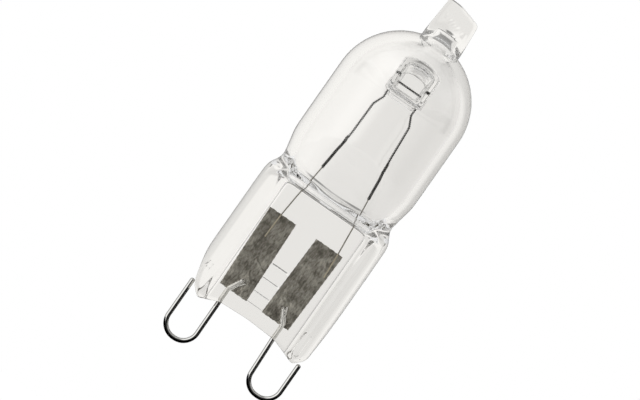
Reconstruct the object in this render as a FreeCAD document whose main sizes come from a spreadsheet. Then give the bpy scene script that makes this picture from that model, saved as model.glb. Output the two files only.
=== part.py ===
import FreeCAD, Part
import os
import math
import re
import Sketcher

# Halogen capsule bulb with two looped wire pins: a quartz tube with a round top, pressed flat below,
# with a coiled filament inside that hangs from a dimple pressed into the glass from both sides.
# Millimetres. The origin is the middle of the lower edge of the pressed web, +Z points up the lamp
# to its exhaust tip, X runs across the flat pinch and the front face looks along -Y.

Vector = FreeCAD.Vector

SIZES = [
    # Glass bulb
    ("bulb_radius", 7.0, "outside radius of the round bulb"),
    ("bulb_wall", 1.0, "thickness of the glass round the cavity"),
    ("dome_height", 26.0, "height of the middle of the dome"),
    ("wall_foot", 3.8, "height above the slot at which the straight wall starts to narrow"),
    ("waist_radius", 6.3, "outside radius at the corner of the waist"),
    ("waist_height", 0.9, "height of the corner of the waist above the slot"),
    ("waist_round", 1.6, "rounding of the waist"),
    # Pressed neck
    ("press_top", 4.7, "height above the slot at which the press faces leave the round wall"),
    ("press_knee_height", 1.2, "height of the knee in the press faces above the slot"),
    ("press_knee_depth", 4.4, "distance of that knee from the middle plane"),
    ("slot_height", 14.2, "height of the slot that is the cavity's lowest edge"),
    ("slot_gap", 0.7, "thickness of the cavity at its lowest edge"),
    ("slot_half_length", 4.8, "half the length of that edge"),
    # Pinch
    ("pinch_width", 14.5, "width of the pinch over its ribs"),
    ("pinch_top", -0.4, "height above the slot at which the ribs have their full section"),
    ("rib_thickness", 4.6, "thickness of the ribs"),
    ("rib_inner_left", 1.8, "how far the left rib's inner edge lies in from the pinch's side"),
    ("rib_inner_right", 1.65, "how far the right rib's inner edge lies in from the pinch's side"),
    ("web_thickness", 2.4, "thickness of the web between the ribs"),
    ("web_top", -0.8, "height of the top of the web's recess above the slot"),
    ("recess_round", 0.9, "rounding of the recess's top corners"),
    ("flank_angle", 24.0, "slope of the recess's sides in degrees"),
    ("rib_edge_round", 0.5, "rounding of the ribs' long edges"),
    ("recess_edge_round", 0.3, "rounding of the recess's rim"),
    ("foot_left", 1.95, "how far the left rib's foot lies in from the pinch's side"),
    ("foot_right", 1.25, "how far the right rib's foot lies in from the pinch's side"),
    ("foot_drop", 1.1, "how far the ribs' feet reach below the web"),
    ("foot_round", 0.6, "rounding of the ribs' feet"),
    ("bevel_left", 3.2, "height at which the left corner starts to slope"),
    ("bevel_right", 2.6, "height at which the right corner starts to slope"),
    ("bevel_inset_left", 0.9, "how far the left corner slopes in at the web's edge"),
    ("bevel_inset_right", 0.25, "how far the right corner slopes in at the web's edge"),
    ("web_edge", 3.25, "half the width of the web's straight lower edge"),
    ("web_edge_drop", 0.15, "how far the web's edge has dropped at its ends"),
    # Dimples that hold the filament
    ("dimple_height", 1.85, "height of the dimples' middle above the dome's middle"),
    ("dimple_width", 3.4, "width of a dimple's foot inside the bulb"),
    ("dimple_length", 3.3, "height of a dimple's foot inside the bulb"),
    ("dimple_round", 1.2, "rounding of the foot's corners"),
    ("dimple_wall", 0.45, "thickness of the glass at a dimple's foot"),
    ("dimple_gap", 0.34, "gap between the two feet"),
    ("dimple_angle", 4.0, "slope of a dimple's sides in degrees"),
    ("dimple_rim_round", 1.0, "rounding of the dimples' outer rims"),
    # Exhaust tip
    ("tip_width", 4.4, "width of the tip where it leaves the dome"),
    ("tip_top_width", 3.9, "width of the tip near its top"),
    ("tip_offset", 0.1, "how far the tip stands to the right of the axis"),
    ("tip_thickness", 2.6, "thickness of the flattened tip"),
    ("tip_top_left", 4.15, "height of the tip's left corner above the dome"),
    ("tip_top_right", 3.4, "height of the tip's right corner above the dome"),
    ("tip_round", 0.6, "rounding of the tip's corners"),
    ("tip_edge_round", 0.5, "rounding of the tip's flat faces"),
    ("tip_root_round", 0.4, "rounding where the tip leaves the dome"),
    ("bore_width", 1.5, "width of the sealed bore in the tip"),
    ("bore_thickness", 0.7, "thickness of that bore"),
    ("bore_top", 1.0, "height of the bore's sealed end above the dome"),
    # Foils
    ("foil_width", 3.15, "width of a foil"),
    ("foil_thickness", 0.05, "thickness of a foil"),
    ("foil_top", -3.9, "height of the foils' upper edge above the slot"),
    ("foil_bottom", 1.35, "height of the foils' lower edge"),
    ("foil_left_upper", 3.0, "middle of the left foil's upper edge"),
    ("foil_left_lower", 2.7, "middle of the left foil's lower edge"),
    ("foil_right_upper", 2.57, "middle of the right foil's upper edge"),
    ("foil_right_lower", 2.27, "middle of the right foil's lower edge"),
    # Pins
    ("pin_radius", 0.25, "radius of the pin wire"),
    ("pin_weld", 0.075, "thickness that the weld takes off the side of a pin"),
    ("pin_bottom", 5.63, "depth of the loops' lowest centre line below the web"),
    ("loop_round", 0.96, "bend radius of the loops as a share of half their width"),
    ("pin_entry_left", 3.3, "left pin where it enters the web"),
    ("pin_entry_right", 3.1, "right pin where it enters the web"),
    ("pin_leg_left", 3.27, "inner leg of the left loop"),
    ("pin_leg_right", 3.33, "inner leg of the right loop"),
    ("pin_outer_left", 0.6, "how far the left loop's outer leg stands in from the pinch's side"),
    ("pin_outer_right", 0.55, "how far the right loop's outer leg stands in from the pinch's side"),
    ("pin_end_left", 0.25, "height of the left pin's free end"),
    ("pin_end_right", -0.75, "height of the right pin's free end"),
    ("pin_bend_height", 1.4, "height of the pins' bend in the web"),
    ("pin_tip_height", 3.05, "height of the pins' welded ends"),
    ("pin_tip_left", 2.45, "left pin's welded end"),
    ("pin_tip_right", 2.15, "right pin's welded end"),
    ("pin_bend_round", 0.9, "bend radius of the pins in the web"),
    ("pin_end_round", 0.2, "rounding of the pins' free ends"),
    # Inner leads and sleeves
    ("lead_radius", 0.07, "radius of the inner leads"),
    ("lead_weld", 0.02, "thickness that the weld takes off the side of a lead"),
    ("lead_bottom", -2.7, "height of the leads' welded ends above the foils' upper edge"),
    ("lead_middle", -1.7, "height of the leads' middle bend above the slot"),
    ("lead_upper", 0.9, "height of the leads' upper bend above the slot"),
    ("lead_foot_left", 3.28, "left lead's welded end"),
    ("lead_foil_left", 3.19, "left lead at the foil's upper edge"),
    ("lead_middle_left", 3.0, "left lead at its middle bend"),
    ("lead_foot_right", 3.75, "right lead's welded end"),
    ("lead_foil_right", 3.58, "right lead at the foil's upper edge"),
    ("lead_middle_right", 3.37, "right lead at its middle bend"),
    ("lead_round", 2.5, "bend radius of the leads"),
    ("sleeve_radius", 0.17, "outside radius of the wound sleeves"),
    ("sleeve_bottom", 2.3, "height of the sleeves' lower ends above the slot"),
    ("sleeve_top", 0.481, "share of the way from there to the kink in the legs that they cover"),
    ("sleeve_foot_left", 2.58, "left sleeve's lower end"),
    ("sleeve_head_left", 2.19, "left sleeve's upper end"),
    ("sleeve_foot_right", 2.97, "right sleeve's lower end"),
    ("sleeve_head_right", 2.52, "right sleeve's upper end"),
    # Filament
    ("coil_radius", 0.14, "outside radius of the filament's coil"),
    ("coil_straight", 0.5, "length of coil in line with each sleeve"),
    ("coil_shoulder", -3.45, "height of the outward kink in the legs above the dimples' middle"),
    ("coil_knee", -2.25, "height above the dimples' middle at which the legs have come in"),
    ("coil_top", -0.3, "height of the coil between the dimples above their middle"),
    ("coil_shoulder_left", 2.06, "left leg at the outward kink"),
    ("coil_knee_left", 1.6, "left leg where it has come in"),
    ("coil_shoulder_right", 2.2, "right leg at the outward kink"),
    ("coil_knee_right", 1.66, "right leg where it has come in"),
    ("coil_corner_left", 1.8, "left corner of the coil's top"),
    ("coil_corner_right", 1.75, "right corner of the coil's top"),
    ("coil_round", 0.6, "bend radius of the coil"),
]

doc = FreeCAD.newDocument("halogen_capsule_bulb")

sheet = doc.addObject("Spreadsheet::Sheet", "Sizes")
for row, (alias, value, meaning) in enumerate(SIZES, start=1):
    sheet.set(f"A{row}", meaning)
    sheet.set(f"B{row}", str(value))
    sheet.setAlias(f"B{row}", alias)
doc.recompute()

ALIASES = {alias for alias, value, meaning in SIZES}

# How a sketch numbers the ends of its geometry and its own axes
START, END, CENTRE = 1, 2, 3
X_AXIS, Y_AXIS = -1, -2


def size(expression):
    """Turn an expression in aliases into one that reads the sheet."""
    return re.sub(r"[a-z_]+", lambda word: f"Sizes.{word[0]}" if word[0] in ALIASES else word[0],
                  expression)


def new_body(name):
    return doc.addObject("PartDesign::Body", name)


def new_sketch(body, name, role, offset=None):
    """Start a sketch on an origin plane of its body, or at an offset along that plane's normal."""
    sketch = body.newObject("Sketcher::SketchObject", name)
    plane = next(feature for feature in body.Origin.OriginFeatures if feature.Role == role)
    sketch.AttachmentSupport = [(plane, "")]
    sketch.MapMode = "FlatFace"
    if offset:
        sketch.setExpression("AttachmentOffset.Base.z", size(offset))
    doc.recompute()
    return sketch


def value(expression):
    """Work out what an expression is with the sheet's present values."""
    return float(sheet.evalExpression(expression))


def bind(sketch, kind, references, expression):
    """Add a dimension to a sketch and tie it to the sheet."""
    index = sketch.addConstraint(Sketcher.Constraint(kind, *references, value(expression)))
    sketch.setExpression(f"Constraints[{index}]", size(expression))


def hold(sketch, kind, geometry, end, expression):
    """Hold one coordinate of a point, on the sketch's axis where it is zero."""
    if expression == "0":
        axis = Y_AXIS if kind == "DistanceX" else X_AXIS
        sketch.addConstraint(Sketcher.Constraint("PointOnObject", geometry, end, axis))
    else:
        bind(sketch, kind, (X_AXIS, START, geometry, end), expression)


def short_arc(start, end, centre):
    """Make the short arc about a centre, and say whether it runs from start to end."""
    first = math.atan2(start.y - centre.y, start.x - centre.x)
    last = math.atan2(end.y - centre.y, end.x - centre.x)
    forwards = (last - first) % (2 * math.pi) <= math.pi
    if not forwards:
        first, last = last, first
    circle = Part.Circle(centre, Vector(0, 0, 1), (start - centre).Length)
    return Part.ArcOfCircle(circle, first, last), forwards


def add_arc(sketch, start, end, centre):
    """Add a short arc, as its number with the end it starts at and the end it stops at."""
    arc, forwards = short_arc(start, end, centre)
    number = sketch.addGeometry(arc, False)
    return (number, START, END) if forwards else (number, END, START)


def draw(sketch, corners, closed=True):
    """Draw a path from corner to corner, each coordinate tied to the sheet.

    A corner is (x, y). It is (x, y, "round", radius) where the path rounds it, and
    (x, y, "about", centre x, centre y) where it leaves the corner on an arc about that centre.
    """
    count = len(corners)
    spots = [Vector(value(corner[0]), value(corner[1]), 0) for corner in corners]
    kinds = [corner[2] if len(corner) > 2 else "sharp" for corner in corners]
    arrives, leaves, middles = list(spots), list(spots), {}
    for i, corner in enumerate(corners):
        if kinds[i] == "round":
            radius = value(corner[3])
            back = (spots[i - 1] - spots[i]).normalize()
            ahead = (spots[(i + 1) % count] - spots[i]).normalize()
            half = back.getAngle(ahead) / 2
            arrives[i] = spots[i] + back * (radius / math.tan(half))
            leaves[i] = spots[i] + ahead * (radius / math.tan(half))
            middles[i] = spots[i] + (back + ahead).normalize() * (radius / math.sin(half))
    edges = {}
    for i in range(count if closed else count - 1):
        start, end = leaves[i], arrives[(i + 1) % count]
        if kinds[i] == "about":
            centre_x, centre_y = corners[i][3], corners[i][4]
            centre = Vector(value(centre_x), value(centre_y), 0)
            edges[i] = add_arc(sketch, start, end, centre)
            if abs(end.y - start.y) > abs(end.x - start.x):
                hold(sketch, "DistanceX", edges[i][0], CENTRE, centre_x)
            else:
                hold(sketch, "DistanceY", edges[i][0], CENTRE, centre_y)
        else:
            edges[i] = (sketch.addGeometry(Part.LineSegment(start, end), False), START, END)
    for i, corner in enumerate(corners):
        before = edges.get((i - 1) % count)
        after = edges.get(i)
        if kinds[i] == "round":
            number, first, last = add_arc(sketch, arrives[i], leaves[i], middles[i])
            sketch.addConstraint(Sketcher.Constraint("Tangent", before[0], before[2], number, first))
            sketch.addConstraint(Sketcher.Constraint("Tangent", number, last, after[0], after[1]))
            bind(sketch, "Radius", (number,), corner[3])
            number, end = sketch.addGeometry(Part.Point(spots[i]), True), START
            sketch.addConstraint(Sketcher.Constraint("PointOnObject", number, START, before[0]))
            sketch.addConstraint(Sketcher.Constraint("PointOnObject", number, START, after[0]))
        elif after:
            number, end = after[0], after[1]
            if before:
                sketch.addConstraint(
                    Sketcher.Constraint("Coincident", before[0], before[2], number, end))
        else:
            number, end = before[0], before[2]
        hold(sketch, "DistanceX", number, end, corner[0])
        hold(sketch, "DistanceY", number, end, corner[1])
    doc.recompute()


def revolve(body, name, sketch):
    """Turn a half profile once round the sketch's upright axis."""
    feature = body.newObject("PartDesign::Revolution", name)
    feature.Profile = sketch
    feature.ReferenceAxis = (sketch, ["V_Axis"])
    feature.Angle = 360
    doc.recompute()
    return feature


def extrude(body, kind, name, sketch, length):
    """Pad or pocket a sketch evenly to both sides of its plane."""
    feature = body.newObject(f"PartDesign::{kind}", name)
    feature.Profile = sketch
    feature.Midplane = True
    feature.setExpression("Length", size(length))
    doc.recompute()
    return feature


def sink(body, name, sketch, length, angle, outwards):
    """Pocket a sketch with sides that widen away from its plane."""
    feature = body.newObject("PartDesign::Pocket", name)
    feature.Profile = sketch
    feature.Reversed = outwards
    feature.setExpression("Length", size(length))
    feature.setExpression("TaperAngle", size(angle))
    doc.recompute()
    return feature


def soften(body, name, radius, wanted):
    """Round those edges of a body's last feature whose middle passes a test."""
    base = body.Tip
    names = [f"Edge{number}" for number, edge in enumerate(base.Shape.Edges, start=1)
             if wanted(edge.CenterOfMass, edge.Length)]
    feature = body.newObject("PartDesign::Fillet", name)
    feature.Base = (base, names)
    feature.setExpression("Radius", size(radius))
    doc.recompute()
    return feature


def wire(name, route, radius, bore=None, forwards=None):
    """Make a round wire along a route, or a tube where it has a bore, some way in front of y = 0."""
    body = new_body(name)
    spine = new_sketch(body, f"{name}_route", "XZ_Plane", forwards)
    draw(spine, route, closed=False)
    section = body.newObject("Sketcher::SketchObject", f"{name}_section")
    section.AttachmentSupport = [(spine, "Edge1")]
    section.MapMode = "NormalToEdge"
    section.MapPathParameter = 0
    for expression in (radius, bore):
        if expression:
            circle = section.addGeometry(
                Part.Circle(Vector(0, 0, 0), Vector(0, 0, 1), value(expression)), False)
            section.addConstraint(
                Sketcher.Constraint("Coincident", circle, CENTRE, X_AXIS, START))
            bind(section, "Radius", (circle,), expression)
    doc.recompute()
    pipe = body.newObject("PartDesign::AdditivePipe", f"{name}_wire")
    pipe.Profile = section
    pipe.Spine = spine
    doc.recompute()
    return body


def cut(name, base, tool):
    """Take one solid away from another."""
    feature = doc.addObject("Part::Cut", name)
    feature.Base = base
    feature.Tool = tool
    doc.recompute()
    return feature


# What several pieces are placed from
def above_slot(rise):
    """Height of what moves with the neck."""
    return f"(slot_height + {rise})"


def above_dome(rise):
    """Height of what stands on the dome."""
    return f"(dome_height + bulb_radius + {rise})"


def at_dimple(rise):
    """Height of what belongs to the dimples."""
    return f"(dome_height + dimple_height + {rise})"


def from_side(inset):
    """Distance from the middle of what moves with the pinch's sides."""
    return f"(pinch_width / 2 - {inset})"


INNER_RADIUS = "(bulb_radius - bulb_wall)"
FOIL_TOP = above_slot("foil_top")
SLEEVE_BOTTOM = above_slot("sleeve_bottom")
LEG_KINK = at_dimple("coil_shoulder")
SLEEVE_TOP = f"({SLEEVE_BOTTOM} + ({LEG_KINK} - {SLEEVE_BOTTOM}) * sleeve_top)"


def dimple_outline(sketch, inset):
    """Draw a dimple's foot, the same shape smaller by an inset."""
    half = f"(dimple_width / 2 - {inset})"
    low = at_dimple(f"{inset} - dimple_length / 2")
    high = at_dimple(f"dimple_length / 2 - {inset}")
    draw(sketch, [
        (f"-{half}", low, "round", f"dimple_round / 2 - {inset} / 2"),
        (half, low, "round", f"dimple_round / 2 - {inset} / 2"),
        (half, high, "round", f"dimple_round - {inset}"),
        (f"-{half}", high, "round", f"dimple_round - {inset}"),
    ])


# The outside of the glass: one revolved tube, pressed flat below

glass = new_body("glass_form")

outside = new_sketch(glass, "outside_profile", "XZ_Plane")
draw(outside, [
    ("0", "-foot_drop"),
    ("pinch_width / 2", "-foot_drop"),
    ("pinch_width / 2", above_slot("pinch_top"), "round", "waist_round / 3"),
    ("waist_radius", above_slot("waist_height"), "round", "waist_round"),
    ("bulb_radius", above_slot("wall_foot"), "round", "waist_round"),
    ("bulb_radius", "dome_height", "about", "0", "dome_height"),
    ("0", "dome_height + bulb_radius"),
])
revolve(glass, "Tube", outside)

# The press faces slope in from the round wall, turn at a knee and end at the ribs' faces
press_slope = "(press_top - press_knee_height) / (bulb_radius - press_knee_depth)"
press_reach = "(pinch_width / 2 + bulb_wall)"
for side, sign in (("front", "-"), ("back", "")):
    pressed = new_sketch(glass, f"press_{side}", "YZ_Plane")
    draw(pressed, [
        (f"{sign}rib_thickness / 2", "-2 * foot_drop"),
        (f"{sign}rib_thickness / 2", above_slot("pinch_top"), "round", "waist_round / 2"),
        (f"{sign}press_knee_depth", above_slot("press_knee_height"), "round", "waist_round"),
        (f"{sign}(bulb_radius + {press_reach})", above_slot(f"press_top + {press_reach} * {press_slope}")),
        (f"{sign}(bulb_radius + {press_reach})", "-2 * foot_drop"),
    ])
    extrude(glass, "Pocket", f"Press_{side}", pressed, "2 * pinch_width")

# The recess between the ribs leaves the web
for side, outwards, sign in (("front", True, ""), ("back", False, "-")):
    recess = new_sketch(glass, f"recess_{side}", "XZ_Plane", f"{sign}web_thickness / 2")
    flank = "(rib_thickness - web_thickness) / 2 * tan(flank_angle)"
    web_left = f"-{from_side('rib_inner_left')} + {flank}"
    web_right = f"{from_side('rib_inner_right')} - {flank}"
    draw(recess, [
        (web_left, "-3 * foot_drop"),
        (web_right, "-3 * foot_drop"),
        (web_right, above_slot("web_top"), "round", "recess_round"),
        (web_left, above_slot("web_top"), "round", "recess_round"),
    ])
    sink(glass, f"Recess_{side}", recess, "rib_thickness / 2", "flank_angle", outwards)

# The foot of each rib and the sloped outer corners, cut along the front outline
below = "-2 * foot_drop"
beyond = "pinch_width / 2 + foot_drop"
for side, sign in (("left", "-"), ("right", "")):
    outline = new_sketch(glass, f"foot_{side}", "XZ_Plane")
    draw(outline, [
        ("0", below),
        ("0", "0"),
        (f"{sign}web_edge", "-web_edge_drop"),
        (f"{sign}{from_side(f'foot_{side}')}", "-foot_drop", "round", "foot_round"),
        (f"{sign}{from_side(f'bevel_inset_{side}')}", "0", "round", "foot_round"),
        (f"{sign}pinch_width / 2", f"bevel_{side}"),
        (f"{sign}({beyond})", f"bevel_{side}"),
        (f"{sign}({beyond})", below),
    ])
    extrude(glass, "Pocket", f"Foot_{side}", outline, "2 * rib_thickness")

# Dimples: each is sunk from outside to a thin foot
for side, outwards, sign in (("front", True, ""), ("back", False, "-")):
    dimple = new_sketch(glass, f"dimple_{side}", "XZ_Plane", f"{sign}(dimple_gap / 2 + dimple_wall)")
    dimple_outline(dimple, "dimple_wall")
    sink(glass, f"Dimple_{side}", dimple, "bulb_radius + bulb_wall", "dimple_angle", outwards)

# The exhaust tip: the tube through which the bulb was filled, melted shut and squeezed flat
tip = new_sketch(glass, "tip_outline", "XZ_Plane")
draw(tip, [
    ("tip_offset - tip_width / 2", "dome_height + bulb_radius - 2 * bulb_wall"),
    ("tip_offset + tip_width / 2", "dome_height + bulb_radius - 2 * bulb_wall"),
    ("tip_offset + tip_width / 2", "dome_height + bulb_radius"),
    ("tip_offset + tip_top_width / 2", above_dome("tip_top_right"), "round", "tip_round"),
    ("tip_offset - tip_top_width / 8", above_dome("tip_top_left"), "round", "tip_round"),
    ("tip_offset - tip_top_width / 2", above_dome("tip_top_left"), "round", "tip_round"),
    ("tip_offset - tip_width / 2", "dome_height + bulb_radius"),
])
extrude(glass, "Pad", "Tip", tip, "tip_thickness")

# The hot glass leaves no sharp edge: the ribs, the recess, the tip and the dimples' rims are rounded
rib_face = value("rib_thickness / 2")
tip_face = value("tip_thickness / 2")
dome_top = value("dome_height + bulb_radius")
rib_edge = value(from_side("rib_inner_right"))
dimple_middle = value(at_dimple("0"))
deep_rim = value("bulb_radius - 2 * bulb_wall")
half_tip = value("tip_width / 2")
hair = 0.02

soften(glass, "Round_ribs", "rib_edge_round", lambda middle, length: (
    abs(abs(middle.y) - rib_face) < hair and abs(middle.x) > rib_edge + hair
    and 0 < middle.z < value(above_slot("web_top")) and length > value("bevel_left")))
soften(glass, "Round_recess", "recess_edge_round", lambda middle, length: (
    abs(abs(middle.y) - rib_face) < hair and abs(middle.x) < rib_edge + hair
    and middle.z > 0))
soften(glass, "Round_tip", "tip_edge_round", lambda middle, length: (
    abs(abs(middle.y) - tip_face) < hair and middle.z > dome_top))
soften(glass, "Round_dimples", "dimple_rim_round", lambda middle, length: (
    abs(middle.y) > deep_rim and abs(middle.x) < value("dimple_length")
    and abs(middle.z - dimple_middle) < value("dimple_length") and length > value("tip_round") / 2))
soften(glass, "Round_tip_root", "tip_root_round", lambda middle, length: (
    value("dome_height + bulb_radius - bulb_wall / 2") < middle.z < dome_top
    and abs(middle.y) < tip_face + hair and abs(middle.x) < half_tip + value("tip_offset") + hair))

# The cavity inside the glass, as a solid that is taken out of it
cavity = new_body("cavity")

inside = new_sketch(cavity, "inside_profile", "XZ_Plane")
draw(inside, [
    ("0", "slot_height"),
    ("slot_half_length", "slot_height"),
    ("waist_radius - bulb_wall", above_slot("waist_height + bulb_wall / 2"), "round", "waist_round / 2"),
    (INNER_RADIUS, above_slot("wall_foot"), "round", "waist_round"),
    (INNER_RADIUS, "dome_height", "about", "0", "dome_height"),
    ("0", f"dome_height + {INNER_RADIUS}"),
])
revolve(cavity, "Hollow", inside)

# Inside, the press closes the cavity to a slot, with walls that follow the press faces
inner_knee_depth = "(press_knee_depth - bulb_wall)"
inner_knee_height = above_slot("press_knee_height + bulb_wall / 2")
for side, sign in (("front", "-"), ("back", "")):
    closed_in = new_sketch(cavity, f"closed_{side}", "YZ_Plane")
    draw(closed_in, [
        (f"{sign}slot_gap / 2", "slot_height - bulb_wall"),
        (f"{sign}slot_gap / 2", "slot_height"),
        (f"{sign}{inner_knee_depth}", inner_knee_height, "round", "waist_round"),
        (f"{sign}bulb_radius", f"{inner_knee_height} + (bulb_radius - {inner_knee_depth}) * {press_slope}"),
        (f"{sign}bulb_radius", "slot_height - bulb_wall"),
    ])
    extrude(cavity, "Pocket", f"Closed_{side}", closed_in, "2 * bulb_radius")

for side, outwards, sign in (("front", True, ""), ("back", False, "-")):
    boss = new_sketch(cavity, f"boss_{side}", "XZ_Plane", f"{sign}dimple_gap / 2")
    dimple_outline(boss, "0")
    sink(cavity, f"Boss_{side}", boss, "bulb_radius", "dimple_angle", outwards)

bore = cavity.newObject("PartDesign::AdditiveEllipsoid", "Bore")
bore.setExpression("Radius1", size("bore_top + 2 * bulb_wall"))
bore.setExpression("Radius2", size("bore_width / 2"))
bore.setExpression("Radius3", size("bore_thickness / 2"))
bore.Angle1 = -90
bore.Angle2 = 90
bore.Angle3 = 360
bore.setExpression("Placement.Base.z", size("dome_height + bulb_radius - 2 * bulb_wall"))
doc.recompute()

# The flat foils: their front faces lie against the flattened sides of the leads and pins
foil_front = "(lead_radius - lead_weld)"
for side, sign in (("left", "-"), ("right", "")):
    foil = new_body(f"foil_{side}")
    strip = new_sketch(foil, f"foil_{side}_outline", "XZ_Plane", f"-{foil_front} - foil_thickness / 2")
    lower, upper = f"{sign}foil_{side}_lower", f"{sign}foil_{side}_upper"
    draw(strip, [
        (f"{lower} - foil_width / 2", "foil_bottom"),
        (f"{lower} + foil_width / 2", "foil_bottom"),
        (f"{upper} + foil_width / 2", FOIL_TOP),
        (f"{upper} - foil_width / 2", FOIL_TOP),
    ])
    extrude(foil, "Pad", f"Foil_{side}", strip, "foil_thickness")

# What the welds flatten is the wire that would stand in the foils' plane
weld_room = doc.addObject("Part::Box", "weld_room")
for property_name, expression in (
        ("Length", "pinch_width"), ("Width", "2 * pin_radius"), ("Height", f"{FOIL_TOP} - foil_bottom"),
        ("Placement.Base.x", "-pinch_width / 2"), ("Placement.Base.y", foil_front),
        ("Placement.Base.z", "foil_bottom")):
    weld_room.setExpression(property_name, size(expression))

for side, sign in (("left", "-"), ("right", "")):
    outer_leg = from_side(f"pin_outer_{side}")
    loop_bend = f"({outer_leg} - pin_leg_{side}) / 2 * loop_round"
    pin = wire(f"pin_{side}_wire", [
        (f"{sign}{outer_leg}", f"pin_end_{side}"),
        (f"{sign}{outer_leg}", "-pin_bottom", "round", loop_bend),
        (f"{sign}pin_leg_{side}", "-pin_bottom", "round", loop_bend),
        (f"{sign}pin_entry_{side}", "0", "round", "pin_bend_round"),
        (f"{sign}pin_entry_{side}", "pin_bend_height", "round", "pin_bend_round"),
        (f"{sign}pin_tip_{side}", "pin_tip_height"),
    ], "pin_radius", forwards=f"pin_radius - pin_weld - {foil_front}")
    pin_end = value(f"pin_end_{side}")
    soften(pin, f"Round_pin_{side}", "pin_end_round", lambda middle, length: (
        abs(middle.z - pin_end) < hair and length < value("8 * pin_radius")))
    cut(f"pin_{side}", pin, weld_room)

    lean = f"(sleeve_foot_{side} - sleeve_head_{side}) / ({SLEEVE_TOP} - {SLEEVE_BOTTOM})"
    lead = wire(f"lead_{side}_wire", [
        (f"{sign}lead_foot_{side}", f"{FOIL_TOP} + lead_bottom"),
        (f"{sign}lead_foil_{side}", FOIL_TOP, "round", "lead_round"),
        (f"{sign}lead_middle_{side}", above_slot("lead_middle"), "round", "lead_round"),
        (f"{sign}(sleeve_foot_{side} + {lean} * (sleeve_bottom - lead_upper))",
         above_slot("lead_upper"), "round", "lead_round"),
        (f"{sign}sleeve_head_{side}", SLEEVE_TOP),
    ], "lead_radius")
    cut(f"inner_lead_{side}", lead, weld_room)

    wire(f"leg_sleeve_{side}", [
        (f"{sign}sleeve_foot_{side}", SLEEVE_BOTTOM),
        (f"{sign}sleeve_head_{side}", SLEEVE_TOP),
    ], "sleeve_radius", bore="lead_radius")

# The filament hangs over the gap between the dimples and stands on the sleeves
legs = []
for side, sign in (("left", "-"), ("right", "")):
    lean = f"(sleeve_foot_{side} - sleeve_head_{side}) / ({SLEEVE_TOP} - {SLEEVE_BOTTOM})"
    legs.append([
        (f"{sign}sleeve_head_{side}", SLEEVE_TOP),
        (f"{sign}(sleeve_head_{side} - {lean} * coil_straight)", f"{SLEEVE_TOP} + coil_straight",
         "round", "coil_round"),
        (f"{sign}coil_shoulder_{side}", LEG_KINK, "round", "coil_round"),
        (f"{sign}coil_knee_{side}", at_dimple("coil_knee"), "round", "coil_round"),
        (f"{sign}coil_corner_{side}", at_dimple("coil_top"), "round", "coil_round"),
    ])
wire("filament", legs[0] + legs[1][::-1], "coil_radius")

# The glass is moulded round everything that is sealed into it
sealed_in = doc.addObject("Part::MultiFuse", "sealed_in")
sealed_in.Shapes = [doc.getObject(name) for name in (
    "cavity", "foil_left", "foil_right", "pin_left", "pin_right", "inner_lead_left",
    "inner_lead_right")]
doc.recompute()
envelope = cut("envelope", glass, sealed_in)

PARTS = ["envelope", "foil_left", "foil_right", "pin_left", "pin_right", "inner_lead_left",
         "inner_lead_right", "leg_sleeve_left", "leg_sleeve_right", "filament"]

for feature in doc.Objects:
    if "Invalid" in feature.State or "Error" in feature.State:
        raise RuntimeError(f"{feature.Name} failed: {feature.State}")
os.makedirs("parts", exist_ok=True)
for name in PARTS:
    shape = doc.getObject(name).Shape
    if shape.isNull() or not shape.isValid():
        raise RuntimeError(f"{name} has no valid shape")
    print(f"{name}: {len(shape.Solids)} solid, {shape.Volume:.4f} mm3, {shape.BoundBox}")
    shape.exportStep(f"parts/{name}.step")
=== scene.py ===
import bmesh
import bpy
import math
import numpy as np
from bpy.props import FloatProperty, FloatVectorProperty, IntProperty, PointerProperty
from mathutils import Matrix, Vector


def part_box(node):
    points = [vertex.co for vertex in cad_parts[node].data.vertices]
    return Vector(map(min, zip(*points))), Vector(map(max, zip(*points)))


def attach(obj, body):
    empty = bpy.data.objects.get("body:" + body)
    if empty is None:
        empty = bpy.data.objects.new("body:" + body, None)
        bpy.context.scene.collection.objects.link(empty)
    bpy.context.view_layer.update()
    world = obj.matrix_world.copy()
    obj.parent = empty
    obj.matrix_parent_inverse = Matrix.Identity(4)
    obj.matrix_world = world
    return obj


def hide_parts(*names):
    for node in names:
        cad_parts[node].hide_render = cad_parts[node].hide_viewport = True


# The looks of a halogen capsule bulb: clear fire-polished quartz, a coiled tungsten filament,
# thin molybdenum foils and bright looped pins. Metres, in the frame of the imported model.

bl_info = {
    "name": "Halogen capsule bulb",
    "version": (1, 0, 0),
    "blender": (4, 5, 0),
    "location": "3D View > Sidebar > Capsule bulb",
    "description": "Builds the glass, the coils and the finishes of a halogen capsule bulb",
    "category": "Object",
}

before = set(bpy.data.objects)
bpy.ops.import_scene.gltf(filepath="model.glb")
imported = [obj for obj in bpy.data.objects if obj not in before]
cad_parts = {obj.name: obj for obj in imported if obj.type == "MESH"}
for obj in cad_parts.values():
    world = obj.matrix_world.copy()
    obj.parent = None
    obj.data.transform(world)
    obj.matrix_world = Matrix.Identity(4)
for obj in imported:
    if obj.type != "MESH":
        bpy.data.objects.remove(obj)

MM = 0.001
BODY = "root"


def linear(colour):
    """Turn a written sRGB colour, such as "#E3E2DE", into linear light."""
    parts = [int(colour[i:i + 2], 16) / 255 for i in (1, 3, 5)]
    return tuple(c / 12.92 if c <= 0.04045 else ((c + 0.055) / 1.055) ** 2.4 for c in parts)


def length(name, description, millimetres):
    """A size that a user can change."""
    return FloatProperty(name=name, description=description, default=millimetres * MM, unit="LENGTH",
                         precision=5)


def shade(name, description, colour):
    """A colour that a user can change."""
    return FloatVectorProperty(name=name, description=description, default=linear(colour),
                               subtype="COLOR", min=0.0, max=1.0)


def angle(name, description, degrees):
    """An angle that a user can change."""
    return FloatProperty(name=name, description=description, default=math.radians(degrees),
                         subtype="ANGLE")


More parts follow.
